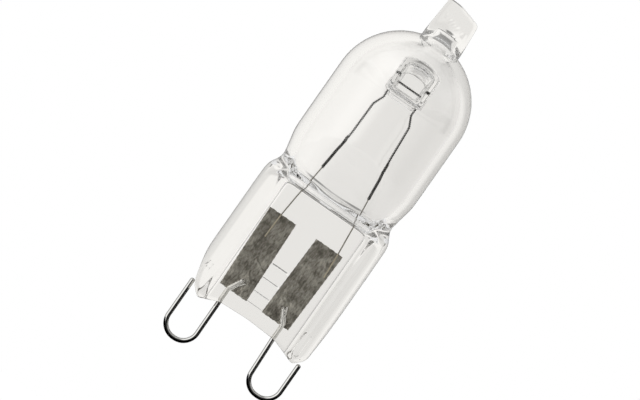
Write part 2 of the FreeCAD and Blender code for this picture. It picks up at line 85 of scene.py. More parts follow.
def share(name, description, value):
    """A plain number from 0 to 1 that a user can change."""
    return FloatProperty(name=name, description=description, default=value, min=0.0, max=1.0,
                         subtype="FACTOR")


# Sizes and colours

class GlassSizes(bpy.types.PropertyGroup):
    """Sizes of the quartz envelope: the model's, and how softly its faces flow into each other."""
    bulb_radius: length("Bulb radius", "Outside radius of the bulb", 7.0)
    bulb_wall: length("Bulb wall", "Thickness of the glass round the cavity", 1.0)
    dome_height: length("Dome height", "Height of the middle of the dome", 26.0)
    wall_foot: length("Wall foot", "Height at which the wall starts to narrow", 18.0)
    waist_radius: length("Waist radius", "Outside radius at the waist", 6.3)
    waist_height: length("Waist height", "Height of the waist", 15.1)
    press_top: length("Press top", "Height at which the press faces start", 18.9)
    knee_height: length("Knee height", "Height of the knee in the press faces", 15.4)
    knee_depth: length("Knee depth", "Distance of the knee from the middle plane", 4.4)
    slot_height: length("Slot height", "Height of the cavity's lowest edge", 14.2)
    slot_gap: length("Slot gap", "Thickness of the cavity at its lowest edge", 0.7)
    slot_half: length("Slot half length", "Half the length of that edge", 4.8)
    slot_bow: length("Slot bow", "How far the slot's ends rise above its middle", 0.3)
    pinch_half: length("Pinch half width", "Half the width of the pinch over its ribs", 7.25)
    pinch_top: length("Pinch top", "Height at which the ribs are whole", 13.8)
    rib_half: length("Rib half thickness", "Half the thickness of the ribs", 2.3)
    rib_left: length("Left rib", "Inner edge of the left rib's face", 5.45)
    rib_right: length("Right rib", "Inner edge of the right rib's face", 5.6)
    web_half: length("Web half thickness", "Half the thickness of the web", 1.2)
    web_top: length("Web top", "Height of the top of the web's recess", 13.4)
    foot_left: length("Left foot", "Middle to the left rib's foot", 5.3)
    foot_right: length("Right foot", "Middle to the right rib's foot", 6.0)
    foot_drop: length("Foot drop", "How far the ribs' feet reach below the web", 1.1)
    bevel_left: length("Left bevel", "Height at which the left corner starts to slope", 3.2)
    bevel_right: length("Right bevel", "Height at which the right corner starts to slope", 2.6)
    inset_left: length("Left inset", "How far the left corner slopes in", 0.9)
    inset_right: length("Right inset", "How far the right corner slopes in", 0.25)
    web_edge: length("Web edge", "Half the width of the web's straight lower edge", 3.25)
    web_drop: length("Web drop", "How far the web's edge drops at its ends", 0.15)
    dimple_height: length("Dimple height", "Height of the middle of the dimples' feet", 27.85)
    dimple_half: length("Dimple half width", "Half the width of a dimple's foot", 1.7)
    dimple_reach: length("Dimple half length", "Half the height of a dimple's foot", 1.65)
    dimple_wall: length("Dimple wall", "Thickness of the glass at a dimple's foot", 0.45)
    dimple_gap: length("Dimple gap", "Gap between the two dimples' feet", 0.34)
    dimple_slope: angle("Dimple slope", "Slope of a dimple's sides", 1)
    dimple_lean: angle("Dimple lean", "How far a dimple's top leans outwards", 6)
    dimple_arch: length("Dimple arch", "Radius of the arch at a dimple's top", 2.5)
    dimple_more: length("Back dimple", "How much wider the back dimple is, each side", 0.05)
    rim_round: length("Rim rounding", "Softness of the dimples' rims", 1.6)
    tip_offset: length("Tip offset", "How far right of the axis the tip stands", 0.1)
    tip_foot: length("Tip foot width", "Half the width of the tip at the dome", 2.2)
    tip_head: length("Tip head width", "Half the width of the tip near its top", 1.95)
    tip_left: length("Tip left corner", "Height of the tip's left corner", 37.15)
    tip_right: length("Tip right corner", "Height of the tip's right corner", 36.4)
    tip_half: length("Tip half thickness", "Half the thickness of the flattened tip", 1.3)
    tip_flow: FloatProperty(name="Tip flow", description="How softly the tip's faces run into the dome",
                            default=6.0, min=0.0)
    bore_top: length("Bore top", "Height of the sealed end of the tip's bore", 34.0)
    flank: angle("Flank", "Slope of the recess's sides", 36)
    rib_draft: share("Rib draft", "Slope that lets the jaws leave the ribs", 0.08)
    rib_crest: length("Rib crest", "Middle to the ribs' thickest line", 6.6)
    neck_round: length("Neck rounding", "How round the pressed neck's edges are", 3.0)
    polish: length("Fire polish", "Softness that the flame gave the edges", 0.5)
    reach: length("Reach", "How far a corner of the mesh may move in one round", 0.15)


class CoilSizes(bpy.types.PropertyGroup):
    """Sizes of the wound tungsten, the same as the model's where both have them."""
    coil_radius: length("Coil radius", "Outside radius of the filament's coil", 0.14)
    coil_pitch: length("Coil pitch", "Distance from turn to turn of the filament", 0.19)
    coil_wire: length("Coil wire", "Thickness of the filament's wire", 0.1)
    sleeve_radius: length("Sleeve radius", "Outside radius of the wound sleeves", 0.17)
    sleeve_pitch: length("Sleeve pitch", "Distance from turn to turn of a sleeve", 0.13)
    sleeve_wire: length("Sleeve wire", "Thickness of a sleeve's wire", 0.11)
    bend: length("Bend radius", "Bend radius of the filament", 0.3)


class FinishColours(bpy.types.PropertyGroup):
    """Colours of the metals and of thick glass."""
    foil: shade("Foil", "Oxidised molybdenum foil", "#C9C5BA")
    foil_dark: shade("Dark foil", "Patches and edges of the foil", "#6E6A61")
    pin: shade("Pin", "Polished molybdenum wire", "#EAE9E5")
    lead: shade("Inner lead", "Drawn molybdenum wire", "#A29E96")
    weld: shade("Weld", "The leads where they were welded", "#E8DCC2")
    tungsten: shade("Tungsten", "Drawn tungsten wire", "#33312D")
    thick_glass: shade("Thick glass", "Tint of light from deep quartz", "#8A8880")


class StageSettings(bpy.types.PropertyGroup):
    """The floor, the light and the camera."""
    lens: FloatProperty(name="Lens", description="Focal length of the camera", default=150.0,
                        subtype="DISTANCE_CAMERA")
    lean: angle("Lean", "How far the lamp leans to the right in the picture", 35)
    span: length("Span", "Width of the picture at the lamp", 62.745)
    aim_x: length("Aim across", "Middle of the picture, across the lamp", -0.908)
    aim_z: length("Aim up", "Middle of the picture, up the lamp", 13.62)
    bounces: IntProperty(name="Bounces", description="Bounces of light inside the clear glass",
                         default=32, min=1)
    floor_drop: length("Floor drop", "Height of the floor", -30.0)
    floor_radius: length("Floor radius", "Radius of the round floor", 100.0)
    behind: shade("Behind", "Tint of what shows through the glass", "#FEFCF8")


# Shape of the glass, as a function that is negative inside it

TINY = 1e-12  # keeps a square root smooth at zero

# Softness of edges, as multiples of the fire polish
KNEE_SOFT, RECESS_RIM_SOFT, RECESS_CORNER_SOFT, WEB_SOFT = 1.8, 0.8, 2.0, 0.3
DIMPLE_FOOT_SOFT, TIP_SIDE_SOFT = 0.25, 0.4

FRONT_RIM = 0.2  # how soft the dimples' front rims are beside the one at the back above
TIP_ROOT = 0.7  # half the thickness of the tip's root, beside half its width
SLOT_KNEE, SLOT_MOUTH = 1 / 1.7, 1.5  # how wide the slot opens, beside the knee and the bulb

# Marks in the glass, in millimetres
PRESS_LINES = ((5.78, 0.12), (4.17, 0.12), (2.6, 0.12), (1.42, 0.07))  # height and half width
PRESS_LINE_ENDS, PRESS_LINE_DEPTH = (-1.35, 0.85), 0.56
PRESS_LINE_ROUGH, PRESS_LINE_WAVES = 0.15, (23, 9, 31)
RING_MARK, LONG_MARK, RIB_MARK_RADIUS, RIB_MARK_WIDTH = (-6.08, 2.3), (5.75, 0.1, 1.95), 0.38, 0.09
NECK_FOLD, NECK_FOLD_HEADING, NECK_FOLD_LENGTH = (5.0, 15.0), (0.68, 0.73), 2.7
NECK_FOLD_WIDTH, NECK_FOLD_GAP, SECOND_FOLD, NECK_FOLD_FADES = 0.16, 0.5, 0.7, (0.5, 0.8)
TIP_CURLS = ((0.4, 35.3, 1.35, 0.15), (2.6, 35.1, 1.2, 0.13))  # middle, radius and width of each
TIP_CURL_ENDS, TIP_CURLS_TOP = (0.7, 1.9), 35.0
TIP_CREASE = (35.1, 0.3, 0.06, 11)  # its height, fall, sway and waves
TIP_CREASE_WIDTH, TIP_CREASE_LEFT, TIP_CREASE_FADE = 0.14, -1.4, 0.4
TIP_MARKS_FOOT, TIP_MARKS_RIGHT = 33.6, 1.75
RIB_MARK_RISE, NECK_FOLD_RISE, TIP_MARK_RISE = 0.05, 0.04, 0.05
FADE = 0.3  # over which a mark runs out at its ends


def ramp(t, soft):
    """A line that is level before zero and climbs after it, with a soft corner."""
    return (t + np.sqrt(t * t + soft * soft)) / 2


def bent(t, corners, soft):
    """A line through corners, with soft bends."""
    places = [corner[0] for corner in corners]
    heights = [corner[1] for corner in corners]
    slopes = [(heights[i + 1] - heights[i]) / (places[i + 1] - places[i])
              for i in range(len(corners) - 1)]
    line = heights[0] + slopes[0] * (t - places[0])
    for i in range(1, len(slopes)):
        line = line + (slopes[i] - slopes[i - 1]) * ramp(t - places[i], soft)
    return line


def join(a, b, soft):
    """Two shapes as one, with a soft seam."""
    near = np.maximum(soft - np.abs(a - b), 0) / soft
    return np.minimum(a, b) - near ** 3 * soft / 6


def meet(a, b, soft):
    """What two shapes share, with a soft edge."""
    return -join(-a, -b, soft)


def ease(t):
    """Go from 0 to 1 without a kink."""
    t = np.clip(t, 0, 1)
    return t ** 3 * (t * (6 * t - 15) + 10)


def from_wall(distance, line, z, step=0.05 * MM):
    """Distance from a wall that leans with the height, measured square to the wall."""
    lean = (line(z + step) - line(z - step)) / (2 * step)
    return (distance - line(z)) / np.sqrt(1 + lean * lean)


def mound(t, width):
    """A smooth rise about zero."""
    return np.exp(-(t / width) ** 2)


def funnel(x, y, z, s):
    """The room of a dimple: square below, arched above, where it leans outwards. The one at the
    back is a little larger."""
    back = s.dimple_more * (y > 0)
    depth = np.abs(y) - s.dimple_gap / 2 - s.dimple_wall
    up = z - s.dimple_height
    wide, tall = s.dimple_half - s.dimple_wall + back, s.dimple_reach - s.dimple_wall + back
    arch = np.sqrt(x * x + (up - tall + s.dimple_arch) ** 2 + TINY) - s.dimple_arch
    ends = meet(arch - depth * math.tan(s.dimple_lean), -up - tall, s.polish / 2)
    plan = meet(np.abs(x) - wide - depth * math.tan(s.dimple_slope), ends, s.polish)
    return meet(plan, -depth, DIMPLE_FOOT_SOFT * s.polish)


def wall_form(x, y, z, s):
    """The outer face of the tube: its dome and waist, pressed flat below."""
    def round_line(height):
        return bent(height, [(-s.pinch_half, s.pinch_half), (s.pinch_top, s.pinch_half),
                             (s.waist_height, s.waist_radius), (s.wall_foot, s.bulb_radius),
                             (s.dome_height + s.bulb_radius, s.bulb_radius)], s.polish)

    def press_line(height):
        return bent(height, [(-s.pinch_half, s.rib_half), (s.pinch_top, s.rib_half),
                             (s.knee_height, s.knee_depth), (s.press_top, s.bulb_radius)],
                    KNEE_SOFT * s.polish)

    tube = from_wall(np.sqrt(x * x + y * y + np.maximum(z - s.dome_height, 0) ** 2), round_line, z)
    press = from_wall(np.abs(y) + s.rib_draft * np.maximum(s.rib_crest - np.abs(x), 0)
                      * ease((s.pinch_top - z) / s.bulb_wall), press_line, z)
    rounded = ease((z - s.web_top + s.bulb_wall / 2) / (s.knee_height - s.web_top))
    rounded = rounded * ease((s.press_top + s.bulb_wall * 2 - z) / (s.bulb_wall * 3))
    return meet(tube, press, s.polish + s.neck_round * rounded)


def rim_softness(y, z, s):
    """How round the dimples' rims are: crisp in front and below, softer at the back above."""
    above = ease((z - s.dimple_height + s.dimple_reach) / (2 * s.dimple_reach)) * (y > 0)
    return s.rim_round * (FRONT_RIM + (1 - FRONT_RIM) * above)


def recess(x, y, z, s):
    """The room between the ribs, in front of and behind the web."""
    lift = np.abs(y) - s.web_half
    widen = math.tan(s.flank) * (lift - (s.rib_half - s.web_half))
    across = np.maximum(-s.rib_left - widen - x, x - s.rib_right - widen)
    top = z - s.web_top - math.tan(s.flank) * lift / 2
    return meet(meet(across, top, RECESS_CORNER_SOFT * s.polish), -lift, WEB_SOFT * s.polish)


def under_feet(x, z, s):
    """What lies below the web's edge, the ribs' feet and the sloped outer corners."""
    line = bent(x, [(s.inset_left - s.pinch_half, 0), (-s.foot_left, -s.foot_drop),
                    (-s.web_edge, -s.web_drop), (0, 0), (s.web_edge, -s.web_drop),
                    (s.foot_right, -s.foot_drop), (s.pinch_half - s.inset_right, 0)], s.polish / 2)
    left, right = ((outwards * bevel - (z - bevel) * inset) / math.hypot(bevel, inset)
                   for outwards, bevel, inset in ((-x - s.pinch_half, s.bevel_left, s.inset_left),
                                                  (x - s.pinch_half, s.bevel_right, s.inset_right)))
    return meet(line - z, meet(left, right, s.polish), s.polish)


def exhaust_tip(x, y, z, s):
    """The tip on the dome: round where it leaves the dome, squeezed flat where it was sealed off."""
    dome_top = s.dome_height + s.bulb_radius
    narrow = (s.tip_foot - s.tip_head) * (z - dome_top) / (s.tip_right - dome_top)
    across = np.abs(x - s.tip_offset)
    sides = across - s.tip_foot + narrow
    top = z - bent(x, [(s.tip_offset - s.tip_head, s.tip_left),
                       (s.tip_offset - s.tip_head / 4, s.tip_left),
                       (s.tip_offset + s.tip_head, s.tip_right)], s.polish)
    squeezed = ease((z - dome_top + s.bulb_wall) / (s.tip_right - dome_top))
    half = s.tip_foot * TIP_ROOT + (s.tip_half - s.tip_foot * TIP_ROOT) * squeezed
    tube = (np.sqrt((across / s.tip_foot) ** 2 + (y / half) ** 2 + TINY) - 1) * half
    faces = (np.abs(y) - half) * squeezed + tube * (1 - squeezed)
    return meet(meet(sides, top, s.polish), faces, s.polish)


def span(t, low, high, soft=FADE):
    """1 between two places and 0 outside them, with soft ends."""
    return ease((t - low) / soft) * ease((high - t) / soft)


def press_lines(x, z):
    """Grooves that the jaws' edges left across the web, between the foils."""
    fine, coarse, from_line = PRESS_LINE_WAVES
    rough = 1 - PRESS_LINE_ROUGH * (1 - np.sin(x * fine) * np.sin(x * coarse + z * from_line))
    lines = sum(np.maximum(1 - np.abs(z - height) / width, 0) * width * PRESS_LINE_DEPTH
                for height, width in PRESS_LINES)
    return lines * span(x, *PRESS_LINE_ENDS) * rough


def rib_marks(x, z):
    """A ring on the left rib and a long oval on the right one."""
    ring = np.hypot(x - RING_MARK[0], z - RING_MARK[1])
    oval = np.hypot(x - LONG_MARK[0], z - np.clip(z, *LONG_MARK[1:]))
    return sum(mound(away - RIB_MARK_RADIUS, RIB_MARK_WIDTH) for away in (ring, oval))


def neck_folds(x, z):
    """Two folds side by side, where the right of the bulb was drawn into the pinch."""
    (x0, z0), (cosine, sine) = NECK_FOLD, NECK_FOLD_HEADING
    along = (x - x0) * cosine + (z - z0) * sine
    off = (x - x0) * sine - (z - z0) * cosine
    folds = mound(off, NECK_FOLD_WIDTH) + SECOND_FOLD * mound(off - NECK_FOLD_GAP, NECK_FOLD_WIDTH)
    start, end = NECK_FOLD_FADES
    return folds * ease(along / start) * ease((NECK_FOLD_LENGTH - along) / end)


def tip_marks(x, z):
    """Two curls and a crumpled crease, where the tip was pinched shut."""
    one, other = (mound(np.hypot(x - x0, z - z0) - radius, width)
                  for x0, z0, radius, width in TIP_CURLS)
    curls = one * ease((x - TIP_CURL_ENDS[0]) / FADE) + other * ease((TIP_CURL_ENDS[1] - x) / FADE)
    height, fall, sway, waves = TIP_CREASE
    crease = mound(z - height + fall * x + sway * np.sin(x * waves), TIP_CREASE_WIDTH)
    marks = curls * ease((TIP_CURLS_TOP - z) / FADE)
    marks = marks + crease * ease((x - TIP_CREASE_LEFT) / TIP_CREASE_FADE)
    return marks * ease((z - TIP_MARKS_FOOT) / FADE) * ease((TIP_MARKS_RIGHT - x) / FADE)


def marks_in_glass(x, y, z, s):
    """How far the marks of the jaws and of the flame stand proud of the glass."""
    x, z, front = x / MM, z / MM, y < 0
    marks = press_lines(x, z) * ~front + RIB_MARK_RISE * rib_marks(x, z) * (-y > s.web_half)
    return (marks + (NECK_FOLD_RISE * neck_folds(x, z) + TIP_MARK_RISE * tip_marks(x, z)) * front) * MM


def hollow(x, y, z, s, wall):
    """The cavity inside the glass, closed to a bowed slot at its foot."""
    def slot_line(height):
        return bent(height, [(s.slot_height, s.slot_gap / 2),
                             (s.slot_height + s.bulb_wall, s.knee_depth * SLOT_KNEE),
                             (s.press_top, s.bulb_radius * SLOT_MOUTH)], s.polish / 2)

    sag = s.slot_bow * (1 - (x / s.slot_half) ** 2)
    closed = from_wall(np.abs(y), slot_line, z + sag)
    floor = s.slot_height - sag - z
    ends = np.abs(x) - bent(z, [(s.slot_height, s.slot_half),
                                (s.knee_height, s.waist_radius - s.bulb_wall),
                                (s.wall_foot, s.bulb_radius)], s.polish)
    return meet(meet(wall, closed, s.polish), meet(floor, ends, s.polish), s.polish)


def glass_form(x, y, z, s):
    """The whole envelope."""
    wall, dimples = wall_form(x, y, z, s), funnel(x, y, z, s)
    form = meet(wall, -dimples, rim_softness(y, z, s))
    form = meet(form, -recess(x, y, z, s), RECESS_RIM_SOFT * s.polish)
    form = meet(form, under_feet(x, z, s), s.polish)
    middle = 1 - np.minimum(np.abs(x - s.tip_offset) / s.tip_foot, 1) ** 2
    flow = s.polish * (TIP_SIDE_SOFT + s.tip_flow * middle)
    root = s.dome_height + s.bulb_radius - 2 * s.bulb_wall
    tip = meet(exhaust_tip(x, y, z, s), root - z, s.polish)
    inside = meet(join(wall, tip, flow) + s.bulb_wall, z - s.bore_top, s.polish / 2)
    inside = meet(inside, s.dimple_wall - dimples, s.polish / 2)
    form = join(form, tip, flow) - marks_in_glass(x, y, z, s)
    return np.maximum(form, -hollow(x, y, z, s, inside))


# Turning that function into a mesh

# Where each spacing of the grid starts, in millimetres, and the spacing: finest where a face turns
# or a mark is thin
ACROSS = [(0, 0.2), (0.8, 0.12), (1.88, 0.24), (4.52, 0.13), (6.47, 0.22), (7.57, 1)]
THROUGH = [(0.04, 0.1), (0.94, 0.15), (2.74, 0.27), (7.33, 1)]
UP = [(-1.4, 0.1), (0.4, 0.3), (1.3, 0.05), (1.55, 0.2), (2.45, 0.05), (2.75, 0.3), (4.05, 0.05),
      (4.3, 0.3), (5.65, 0.05), (5.9, 0.4), (12.7, 0.115), (16.55, 0.4), (25.75, 0.125), (30.03, 0.17),
      (34.45, 0.25), (37.45, 1)]


def grid_lines(stops):
    """Lines from stop to stop in millimetres, each stretch with its own spacing."""
    lines = [np.arange(low, high - step / 2, step) for (low, step), (high, _) in zip(stops, stops[1:])]
    return np.concatenate(lines + [[stops[-1][0]]]) * MM


def both_sides(stops):
    """The same lines on both sides of zero."""
    half = grid_lines(stops)
    return np.concatenate([-half[:0:-1], half])


def net(values):
    """Give each cell that the surface crosses one corner, and each crossed grid edge one face."""
    inside = values < 0
    corners = sum(inside[i:inside.shape[0] - 1 + i, j:inside.shape[1] - 1 + j, k:inside.shape[2] - 1 + k]
                  .astype(np.int8) for i in (0, 1) for j in (0, 1) for k in (0, 1))
    crossed = (corners > 0) & (corners < 8)
    number = np.full(crossed.shape, -1)
    number[crossed] = np.arange(crossed.sum())
    faces = []
    for axis in range(3):
        before = np.moveaxis(inside, axis, 0)[:-1]
        after = np.moveaxis(inside, axis, 0)[1:]
        cells = np.moveaxis(number, axis, 0)
        for leaving in (True, False):
            hit = (before & ~after) if leaving else (~before & after)
            i, j, k = np.nonzero(hit[:, 1:-1, 1:-1])
            quad = np.stack([cells[i, j, k], cells[i, j + 1, k], cells[i, j + 1, k + 1],
                             cells[i, j, k + 1]], axis=1)
            odd = axis == 1
            faces.append(quad if leaving != odd else quad[:, ::-1])
    return np.argwhere(crossed), np.concatenate(faces)


def slope(form, points, s, step=0.01 * MM):
    """The direction in which the form's value grows, and how fast."""
    parts = []
    for axis in range(3):
        shift = np.zeros(3)
        shift[axis] = step
        parts.append((form(*(points + shift).T, s) - form(*(points - shift).T, s)) / (2 * step))
    return np.stack(parts, axis=1)


def surface(form, lines, s, rounds=4, least=0.1):
    """Mesh a form: its corners, faces and the normals of its corners. Each round moves the corners
    down or up the form's slope, taken as no gentler than the least, until they lie on it."""
    cells, faces = net(form(*np.meshgrid(*lines, indexing="ij"), s))
    middles = [(line[:-1] + line[1:]) / 2 for line in lines]
    points = np.stack([middles[axis][cells[:, axis]] for axis in range(3)], axis=1)
    for _ in range(rounds):
        rise = slope(form, points, s)
        steepness = np.maximum(np.linalg.norm(rise, axis=1, keepdims=True), least)
        away = form(*points.T, s)[:, None] / steepness
        points = points - np.clip(away, -s.reach, s.reach) * rise / steepness
    rise = slope(form, points, s)
    return points, faces.tolist(), rise / np.maximum(np.linalg.norm(rise, axis=1, keepdims=True), least)


def new_object(name, data):
    """Put a mesh, a curve or a camera into the scene as an object at the origin."""
    piece = bpy.data.objects.new(name, data)
    bpy.context.scene.collection.objects.link(piece)
    return piece


def mesh_object(name, points, faces, normals=None):
    """Put a smooth mesh into the scene, from an array of points and a list of faces."""
    mesh = bpy.data.meshes.new(name)
    mesh.from_pydata(points.tolist(), [], faces)
    mesh.shade_smooth()
    if normals is not None:
        mesh.normals_split_custom_set_from_vertices(normals.tolist())
    return new_object(name, mesh)


# Materials

def new_material(name):
    """An empty material, and its tree."""
    material = bpy.data.materials.new(name)
    material.use_nodes = True
    tree = material.node_tree
    tree.nodes.clear()
    return material, tree


def add(tree, kind, settings=(), **inputs):
    """Add a node. Inputs are named as on the node, with _ for a space, or by number, as n0. They
    take a value, a socket or another node, which gives its first output."""
    node = tree.nodes.new(kind)
    for key, value in dict(settings).items():
        setattr(node, key, value)
    for key, value in inputs.items():
        name = key.replace("_", " ")
        socket = node.inputs[int(name[1:])] if name[1:].isdigit() else node.inputs[name]
        if isinstance(value, bpy.types.Node):
            value = value.outputs[0]
        if isinstance(value, bpy.types.NodeSocket):
            tree.links.new(value, socket)
        else:
            socket.default_value = value
    return node


# Settings of nodes
TIMES, OVER = {"operation": "MULTIPLY"}, {"operation": "DIVIDE"}
LARGER, SCALED = {"operation": "MAXIMUM"}, {"operation": "SCALE"}
SMOOTH = {"interpolation_type": "SMOOTHSTEP"}
COLOURS = {"data_type": "RGBA"}
COLOURS_TIMES = {"data_type": "RGBA", "blend_type": "MULTIPLY"}


def rgba(colour):
    """A colour as a node takes it."""
    return (*colour, 1.0)


def grain_scale(wide, tall):
    """Scale for a noise whose grains are this wide and this tall."""
    return (1 / wide, 1 / wide, 1 / tall)


WHITE = (1, 1, 1, 1)
FOIL_GRAIN, FOIL_PATCH = (0.16 * MM, 0.4 * MM), 1.3 * MM
# The real wire's die lines are finer than these, which are as coarse as the picture can show
DIE_LINE, LONG_DIE_LINE, SHORT_DIE_LINE = 0.08 * MM, 3 * MM, 0.6 * MM
WELD_TOP = (10.2 * MM, 10.35 * MM)  # heights between which a lead's weld ends
# The board's own glow makes up what the light lacks of white: all of it to the camera, and this
# share of it through the glass
FLOOR_TOOTH, FLOOR_GLOW, GLOW_THROUGH = 2 * MM, 0.35, 0.6


def quartz_material(colours):
    """Fused quartz, blown and pressed in a flame: perfectly clear and smooth, so the eye sees only
    its bright and dark lines of bent light, and a faint grey where it looks through much glass."""
    material, tree = new_material("fused_quartz")
    glass = add(tree, "ShaderNodeBsdfPrincipled", Base_Color=WHITE, Roughness=0.0, IOR=1.458,
                Transmission_Weight=1.0)
    depth = add(tree, "ShaderNodeVolumeAbsorption", Color=rgba(colours.thick_glass), Density=14.0)
    add(tree, "ShaderNodeOutputMaterial", Surface=glass, Volume=depth)
    return material


def foil_material(colours):
    """Molybdenum foil etched to a feather edge and dulled by the heat of the pinch: a mottled
    grey-brown with fine creases that run along it."""
    material, tree = new_material("etched_molybdenum_foil")
    place = add(tree, "ShaderNodeTexCoord").outputs["Object"]
    along = add(tree, "ShaderNodeMapping", Vector=place, Scale=grain_scale(*FOIL_GRAIN))
    grain = add(tree, "ShaderNodeTexNoise", Vector=along, Scale=1.0, Detail=6.0, Roughness=0.65)
    patches = add(tree, "ShaderNodeTexNoise", Vector=place, Scale=1 / FOIL_PATCH, Detail=3.0)
    both = add(tree, "ShaderNodeMath", TIMES, n0=grain, n1=patches)
    tone = add(tree, "ShaderNodeMapRange", Value=both, From_Min=0.16, From_Max=0.38)
    mixed = add(tree, "ShaderNodeMix", COLOURS, n0=tone, n6=rgba(colours.foil_dark),
                n7=rgba(colours.foil))
    bump = add(tree, "ShaderNodeBump", Height=grain, Strength=0.35, Distance=0.05 * MM)
    metal = add(tree, "ShaderNodeBsdfPrincipled", Base_Color=mixed.outputs[2], Metallic=0.75,
                Roughness=0.38, Normal=bump)
    add(tree, "ShaderNodeOutputMaterial", Surface=metal)
    return material


def die_lines(tree, colour, reach, grain):
    """Fine lines that the die left along a wire, and the wire's colour with these lines in it."""
    place = add(tree, "ShaderNodeTexCoord").outputs["Object"]
    along = add(tree, "ShaderNodeMapping", Vector=place, Scale=grain_scale(DIE_LINE, reach))
    lines = add(tree, "ShaderNodeTexNoise", Vector=along, Scale=1.0, Detail=3.0)
    tint = add(tree, "ShaderNodeMapRange", Value=lines, From_Min=0.3, From_Max=0.7,
               To_Min=1 - grain, To_Max=1.0)
    toned = add(tree, "ShaderNodeMix", COLOURS_TIMES, n0=1.0, n6=colour, n7=tint)
    return lines, toned.outputs[2]


def wire_material(name, colour, roughness, grain):
    """Drawn wire: fine die lines stretch along it and break up its highlight a little."""
    material, tree = new_material(name)
    lines, toned = die_lines(tree, rgba(colour), LONG_DIE_LINE, grain)
    bump = add(tree, "ShaderNodeBump", Height=lines, Strength=0.1, Distance=0.01 * MM)
    metal = add(tree, "ShaderNodeBsdfPrincipled", Base_Color=toned, Metallic=1.0,
                Roughness=roughness, Normal=bump)
    add(tree, "ShaderNodeOutputMaterial", Surface=metal)
    return material


def lead_material(colours):
    """Drawn molybdenum wire, grey with fine die lines, and bright where it was welded to the foil."""
    material, tree = new_material("drawn_molybdenum_wire")
    place = add(tree, "ShaderNodeTexCoord").outputs["Object"]
    height = add(tree, "ShaderNodeSeparateXYZ", n0=place).outputs[2]
    above = add(tree, "ShaderNodeMapRange", Value=height, From_Min=WELD_TOP[0], From_Max=WELD_TOP[1])
    mixed = add(tree, "ShaderNodeMix", COLOURS, n0=above, n6=rgba(colours.weld), n7=rgba(colours.lead))
    toned = die_lines(tree, mixed.outputs[2], SHORT_DIE_LINE, grain=0.2)[1]
    metal = add(tree, "ShaderNodeBsdfPrincipled", Base_Color=toned, Metallic=above, Roughness=0.3)
    add(tree, "ShaderNodeOutputMaterial", Surface=metal)
    return material


def floor_material():
    """A matt white board with a faint tooth. Straight from the camera it is as white as the
    background, through the glass nearly so, and bare metal reflects it as the dark of the room."""
    material, tree = new_material("white_board")
    path = add(tree, "ShaderNodeLightPath").outputs
    place = add(tree, "ShaderNodeTexCoord").outputs["Object"]
    tooth = add(tree, "ShaderNodeTexNoise", Vector=place, Scale=1 / FLOOR_TOOTH, Detail=4.0)
    tone = add(tree, "ShaderNodeMapRange", Value=tooth, To_Min=0.8, To_Max=0.82)
    board = add(tree, "ShaderNodeBsdfDiffuse", Color=tone)
    white = add(tree, "ShaderNodeEmission", Color=WHITE, Strength=FLOOR_GLOW)
    none = add(tree, "ShaderNodeEmission", Strength=0.0)
    behind = add(tree, "ShaderNodeMath", TIMES, n0=path["Is Transmission Ray"], n1=GLOW_THROUGH)
    seen = add(tree, "ShaderNodeMath", LARGER, n0=path["Is Camera Ray"], n1=behind)
    extra = add(tree, "ShaderNodeMixShader", Fac=seen, n1=none, n2=white)
    lit = add(tree, "ShaderNodeAddShader", n0=board, n1=extra)
    mirrored = add(tree, "ShaderNodeMath", {"operation": "SUBTRACT", "use_clamp": True},
                   n0=path["Is Glossy Ray"], n1=path["Is Transmission Ray"])
    both = add(tree, "ShaderNodeMixShader", Fac=mirrored, n1=lit, n2=none)
    add(tree, "ShaderNodeOutputMaterial", Surface=both)
    return material


def finish_node(name, material):
    """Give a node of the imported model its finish."""
    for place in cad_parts[name].material_slots:
        place.material = material


# Pins and foils, in millimetres

FOIL_THICKNESS, FOIL_FRONT, FOIL_POINTS = 0.05, 0.05, (48, 136)
FEATHER = 0.2  # how thick the foil's edge is, beside its middle
FEATHER_RISE, RELIEF_RISE = 12, 10  # how steeply its thickness and its relief rise from its sides
FOIL_CORNERS = {
    "left": ((-4.275, 1.35), (-1.125, 1.35), (-1.425, 10.3), (-4.575, 10.3)),
    "right": ((0.695, 1.35), (3.845, 1.35), (4.145, 10.3), (0.995, 10.3)),
}
# Waves of the foil's edges: how far, and how many radians to a millimetre
SIDE_WAVES, END_WAVES = ((0.012, 11), (0.01, 27)), ((0.02, 9), (0.012, 21))
# Drawn streaks: how high, waves across, sway, and waves of the sway along and across
STREAKS = ((0.008, 19, 1.5, 1.1, 0), (0.006, 33, 2, 0.7, 1))
DENTS = (0.006, 7, 3, 2.3, 5)
# Creases: from and to, how wide and how far out
CREASES = {
    "left": [((-2.6, 5.3, -1.4, 4.6), 0.1, 0.09), ((-2.5, 3.75, -1.8, 2.9), 0.1, 0.11),
             ((-2.0, 4.9, -1.35, 4.9), 0.08, -0.07), ((-3.0, 1.4, -2.4, 3.1), 0.3, 0.09),
             ((-2.5, 1.5, -2.15, 2.5), 0.1, -0.09), ((-2.2, 3.2, -1.6, 3.4), 0.09, 0.07)],
    "right": [((3.0, 1.4, 2.0, 3.2), 0.28, 0.09), ((2.4, 1.5, 1.9, 2.4), 0.1, -0.09),
              ((3.3, 2.0, 2.6, 3.4), 0.09, 0.09), ((1.9, 4.6, 2.8, 5.4), 0.12, 0.05),
              ((2.6, 3.4, 2.2, 3.9), 0.09, -0.07)],
}
# The blister on the right foil: its middle, how much wider than tall, and its ring
BLISTER, BLISTER_SHAPE, BLISTER_RING, BLISTER_RISE = (1.76, 3.68), 1.3, (0.17, 0.07), 0.05

